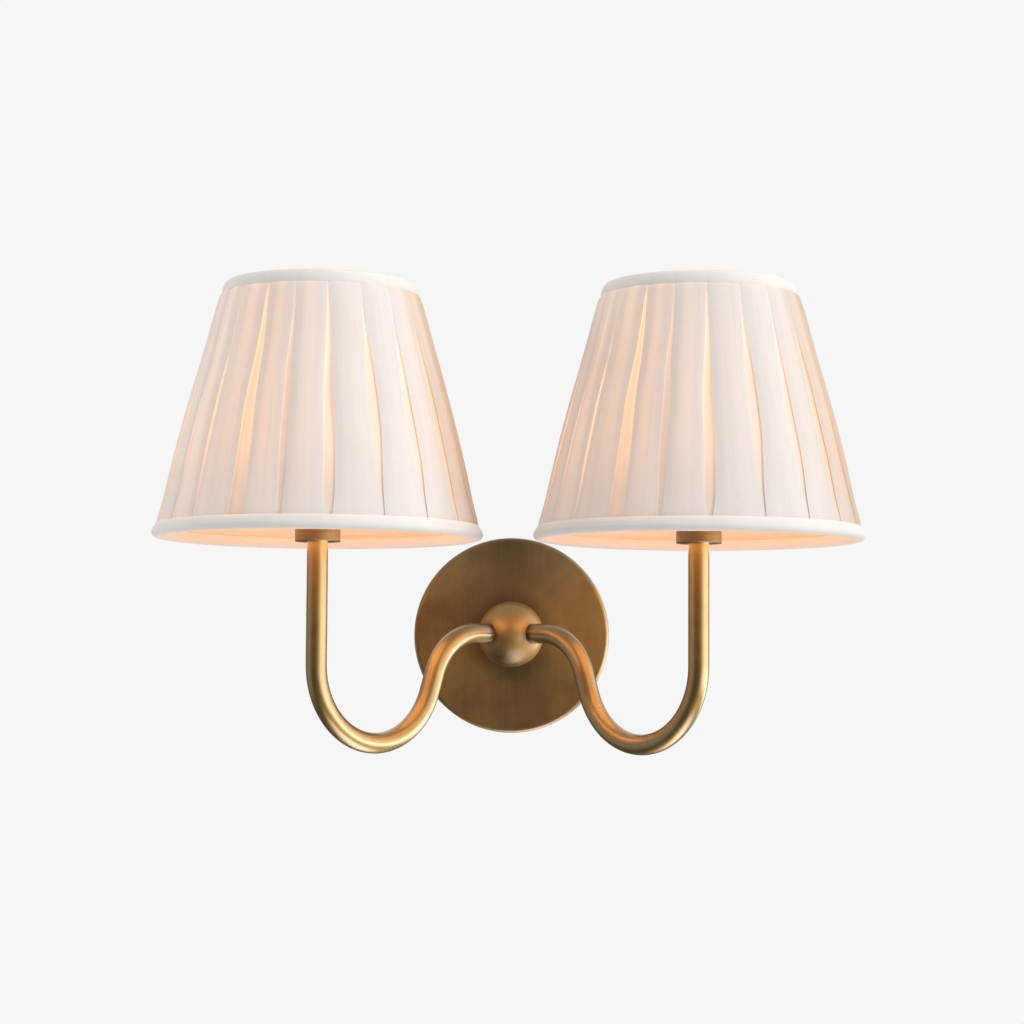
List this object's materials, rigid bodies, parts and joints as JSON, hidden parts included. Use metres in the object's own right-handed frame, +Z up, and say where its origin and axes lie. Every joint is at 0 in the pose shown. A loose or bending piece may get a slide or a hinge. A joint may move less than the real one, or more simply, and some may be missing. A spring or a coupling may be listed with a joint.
{
  "type": "wall lamp",
  "caption": "Wall lamp with a round brass plate, a ball hub, curved tube arms and pleated cloth shades that clip onto candle bulbs.",
  "frame": {"origin": "centre of the mounting bar's slot pair, on the wall plane", "axes": "+Z up, +Y into the wall, so the lamp's front looks towards -Y and +X is to the viewer's right"},
  "size_m": [0.4296, 0.2522, 0.2849],
  "materials": {
    "aged_brass": "aged brass, satin with darker patina",
    "wire_brass": "plain brass-plated wire",
    "contact_brass": "bright brass sheet",
    "zinc_steel": "zinc-plated steel",
    "green_steel": "green painted screw",
    "connector_plastic": "moulded plastic",
    "lead_insulation": "extruded insulation",
    "socket_plastic": "dark moulded socket",
    "sleeve_plastic": "cream candle sleeve",
    "bulb_metal": "rolled cap",
    "bulb_insulation": "black glazed insulator",
    "bulb_glass": "clear",
    "bulb_glow": null,
    "shade_cloth": "pleated off-white cloth",
    "shade_trim": "cloth binding",
    "shade_lining": "thin translucent lining"
  },
  "bodies": {
    "base": {"backplate": "aged_brass", "hub_ball": "aged_brass", "hub_pipe": "zinc_steel", "hub_washer": "zinc_steel", "hub_nut": "zinc_steel", "mounting_bar": "zinc_steel", "canopy_screws": "aged_brass", "ground_screw": "green_steel", "wire_connectors": "connector_plastic", "left_arm": "aged_brass", "left_leads": "lead_insulation", "left_socket_seat": "aged_brass", "left_socket_pipe": "zinc_steel", "left_socket_nut": "zinc_steel", "left_socket_bracket": "zinc_steel", "left_socket_rivets": "zinc_steel", "left_socket_body": "socket_plastic", "left_screw_shell": "contact_brass", "left_center_contact": "contact_brass", "left_candle_sleeve": "sleeve_plastic", "right_arm": "aged_brass", "right_leads": "lead_insulation", "right_socket_seat": "aged_brass", "right_socket_pipe": "zinc_steel", "right_socket_nut": "zinc_steel", "right_socket_bracket": "zinc_steel", "right_socket_rivets": "zinc_steel", "right_socket_body": "socket_plastic", "right_screw_shell": "contact_brass", "right_center_contact": "contact_brass", "right_candle_sleeve": "sleeve_plastic"},
    "left_bulb_screw": {"left_bulb_eyelet": "bulb_metal"},
    "left_bulb": {"left_bulb_insulator": "bulb_insulation", "left_bulb_cap": "bulb_metal", "left_bulb_glass": "bulb_glass", "left_bulb_stem": "bulb_glass", "left_bulb_filament": "bulb_glow"},
    "left_clip": {"left_bulb_clip": "wire_brass"},
    "left_shade": {"left_shade_spider": "wire_brass", "left_shade_bottom_ring": "wire_brass", "left_shade_liner": "shade_lining", "left_shade_cover": "shade_cloth", "left_shade_bottom_trim": "shade_trim", "left_shade_top_trim": "shade_trim"},
    "left_finial": {"left_finial": "aged_brass"},
    "right_bulb_screw": {"right_bulb_eyelet": "bulb_metal"},
    "right_bulb": {"right_bulb_insulator": "bulb_insulation", "right_bulb_cap": "bulb_metal", "right_bulb_glass": "bulb_glass", "right_bulb_stem": "bulb_glass", "right_bulb_filament": "bulb_glow"},
    "right_clip": {"right_bulb_clip": "wire_brass"},
    "right_shade": {"right_shade_spider": "wire_brass", "right_shade_bottom_ring": "wire_brass", "right_shade_liner": "shade_lining", "right_shade_cover": "shade_cloth", "right_shade_bottom_trim": "shade_trim", "right_shade_top_trim": "shade_trim"},
    "right_finial": {"right_finial": "aged_brass"}
  },
  "joints": [
    {"name": "left_bulb_rise", "type": "slide", "parent": "base", "child": "left_bulb_screw", "axis": [0, 0, 1], "range_m": [0, 0.0127]},
    {"name": "left_bulb_turn", "type": "hinge", "parent": "left_bulb_screw", "child": "left_bulb", "pos_m": [-0.1149, -0.15232, 0], "axis": [0, 0, 1], "range_deg": [0, 1800]},
    {"name": "left_shade_lift", "type": "slide", "parent": "left_bulb_screw", "child": "left_clip", "axis": [0, 0, 1], "range_m": [0, 0.13]},
    {"name": "left_shade_turn", "type": "hinge", "parent": "left_clip", "child": "left_shade", "pos_m": [-0.1149, -0.15232, 0], "axis": [0, 0, 1], "continuous": true},
    {"name": "left_finial_lift", "type": "slide", "parent": "left_clip", "child": "left_finial", "axis": [0, 0, 1], "range_m": [0, 0.015]},
    {"name": "right_bulb_rise", "type": "slide", "parent": "base", "child": "right_bulb_screw", "axis": [0, 0, 1], "range_m": [0, 0.0127]},
    {"name": "right_bulb_turn", "type": "hinge", "parent": "right_bulb_screw", "child": "right_bulb", "pos_m": [0.1149, -0.15232, 0], "axis": [0, 0, 1], "range_deg": [0, 1800]},
    {"name": "right_shade_lift", "type": "slide", "parent": "right_bulb_screw", "child": "right_clip", "axis": [0, 0, 1], "range_m": [0, 0.13]},
    {"name": "right_shade_turn", "type": "hinge", "parent": "right_clip", "child": "right_shade", "pos_m": [0.1149, -0.15232, 0], "axis": [0, 0, 1], "continuous": true},
    {"name": "right_finial_lift", "type": "slide", "parent": "right_clip", "child": "right_finial", "axis": [0, 0, 1], "range_m": [0, 0.015]}
  ],
  "couplings": [
    {"joint": "left_bulb_rise", "follows": "left_bulb_turn", "m_per_rad": 0.00040425},
    {"joint": "right_bulb_rise", "follows": "right_bulb_turn", "m_per_rad": 0.00040425}
  ]
}
